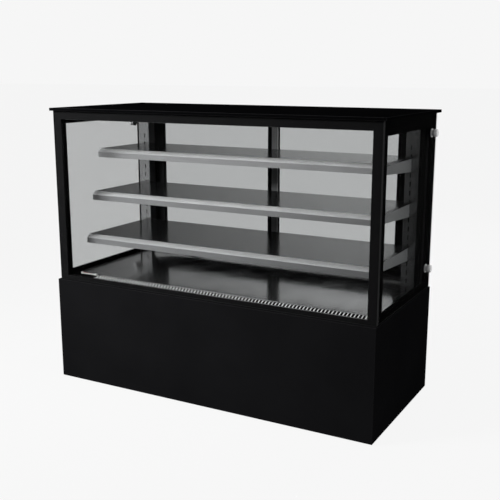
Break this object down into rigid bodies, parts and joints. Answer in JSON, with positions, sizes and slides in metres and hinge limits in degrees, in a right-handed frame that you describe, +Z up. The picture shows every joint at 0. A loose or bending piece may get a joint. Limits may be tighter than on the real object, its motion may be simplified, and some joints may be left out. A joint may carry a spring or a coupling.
{
  "type": "refrigerated bakery display case",
  "caption": "Floor-standing refrigerated cake display case: black panelled base, double-glazed upright front and sides, stepped grey shelves on hooked brackets, sliding rear doors.",
  "frame": {"origin": "on the floor, under the middle of the overall box", "axes": "+X to the customer's right along the case, +Y from the customer's side to the staff side, +Z up"},
  "size_m": [1.526, 0.671, 1.2],
  "materials": {
    "black_paint": "satin black powder coat",
    "grey_paint": "smooth grey powder coat",
    "galvanised": "galvanised sheet",
    "stainless": "brushed",
    "clear_glass": "clear float glass",
    "black_glass": "back-painted black glass",
    "black_print": "black edge seal",
    "black_rubber": "matt rubber",
    "black_plastic": "fine texture",
    "white_plastic": "gloss white",
    "diffuser": "opal",
    "foam_liner": "smooth liner",
    "chrome": "polished",
    "aluminium": "anodised fins",
    "copper": "copper pipe",
    "compressor_black": "black enamel"
  },
  "bodies": {
    "case": {"base_floor": "galvanised", "cable_gland": "black_plastic", "canopy_panel": "foam_liner", "compressor": "compressor_black", "condenser_coil": "aluminium", "condenser_fan_motor": "compressor_black", "condenser_shroud": "galvanised", "control_plate": "black_plastic", "cooler_baffle": "stainless", "cooler_coil": "aluminium", "cooler_fan_motors": "compressor_black", "corner_posts": "galvanised", "deck_pan": "stainless", "door_track_bottom": "black_plastic", "door_track_top": "black_plastic", "drain_pipe": "white_plastic", "drip_tray": "stainless", "electrical_box": "galvanised", "filter_drier": "copper", "front_air_grille": "stainless", "front_glass_edge_frame": "black_print", "front_glass_panes": "clear_glass", "front_panel": "black_paint", "glass_seat_strips": "black_rubber", "glass_stud_bosses": "chrome", "glass_stud_caps": "chrome", "insulated_tank": "foam_liner", "levelling_feet": "black_rubber", "light_channel": "aluminium", "light_diffuser": "diffuser", "rear_air_duct": "stainless", "rear_jambs": "black_paint", "rear_panel": "black_paint", "rear_sill": "black_paint", "refrigerant_pipes": "copper", "shelf_brackets": "grey_paint", "shelf_lower": "grey_paint", "shelf_middle": "grey_paint", "shelf_top": "grey_paint", "shelf_upright_left": "stainless", "shelf_upright_right": "stainless", "side_glass_edge_frames": "black_print", "side_glass_panes": "clear_glass", "side_panel_left": "black_paint", "side_panel_right": "black_paint", "strip_thermometer": "white_plastic", "temperature_controller": "black_plastic", "top_plate": "black_glass"},
    "door_left": {"door_left_frame": "black_paint", "door_left_pane": "clear_glass"},
    "door_right": {"door_right_frame": "black_paint", "door_right_pane": "clear_glass"},
    "condenser_fan_wheel": {"condenser_fan": "aluminium"},
    "cooler_fan_left_wheel": {"cooler_fan_left": "black_plastic"},
    "cooler_fan_right_wheel": {"cooler_fan_right": "black_plastic"},
    "power_rocker": {"power_switch": "black_plastic"},
    "light_rocker": {"light_switch": "black_plastic"},
    "set_key": {"controller_key_set": "white_plastic"},
    "up_key": {"controller_key_up": "white_plastic"},
    "down_key": {"controller_key_down": "white_plastic"}
  },
  "joints": [
    {"name": "door_left_slide", "type": "slide", "parent": "case", "child": "door_left", "axis": [1, 0, 0], "range_m": [0, 0.6]},
    {"name": "door_right_slide", "type": "slide", "parent": "case", "child": "door_right", "axis": [1, 0, 0], "range_m": [-0.6, 0]},
    {"name": "condenser_fan_spin", "type": "hinge", "parent": "case", "child": "condenser_fan_wheel", "pos_m": [-0.07, 0.205, 0.1565], "axis": [0, 1, 0], "continuous": true},
    {"name": "cooler_fan_left_spin", "type": "hinge", "parent": "case", "child": "cooler_fan_left_wheel", "pos_m": [-0.23, -0.03925, 0.408], "axis": [0, 1, 0], "continuous": true},
    {"name": "cooler_fan_right_spin", "type": "hinge", "parent": "case", "child": "cooler_fan_right_wheel", "pos_m": [0.23, -0.03925, 0.408], "axis": [0, 1, 0], "continuous": true},
    {"name": "power_switch_rock", "type": "hinge", "parent": "case", "child": "power_rocker", "pos_m": [-0.558, 0.3285, 0.238], "axis": [1, 0, 0], "range_deg": [-18, 0]},
    {"name": "light_switch_rock", "type": "hinge", "parent": "case", "child": "light_rocker", "pos_m": [-0.532, 0.3285, 0.238], "axis": [1, 0, 0], "range_deg": [-18, 0]},
    {"name": "set_key_press", "type": "slide", "parent": "case", "child": "set_key", "axis": [0, -1, 0], "range_m": [0, 0.0008], "stiffness_N_per_m": 600},
    {"name": "up_key_press", "type": "slide", "parent": "case", "child": "up_key", "axis": [0, -1, 0], "range_m": [0, 0.0008], "stiffness_N_per_m": 600},
    {"name": "down_key_press", "type": "slide", "parent": "case", "child": "down_key", "axis": [0, -1, 0], "range_m": [0, 0.0008], "stiffness_N_per_m": 600}
  ]
}
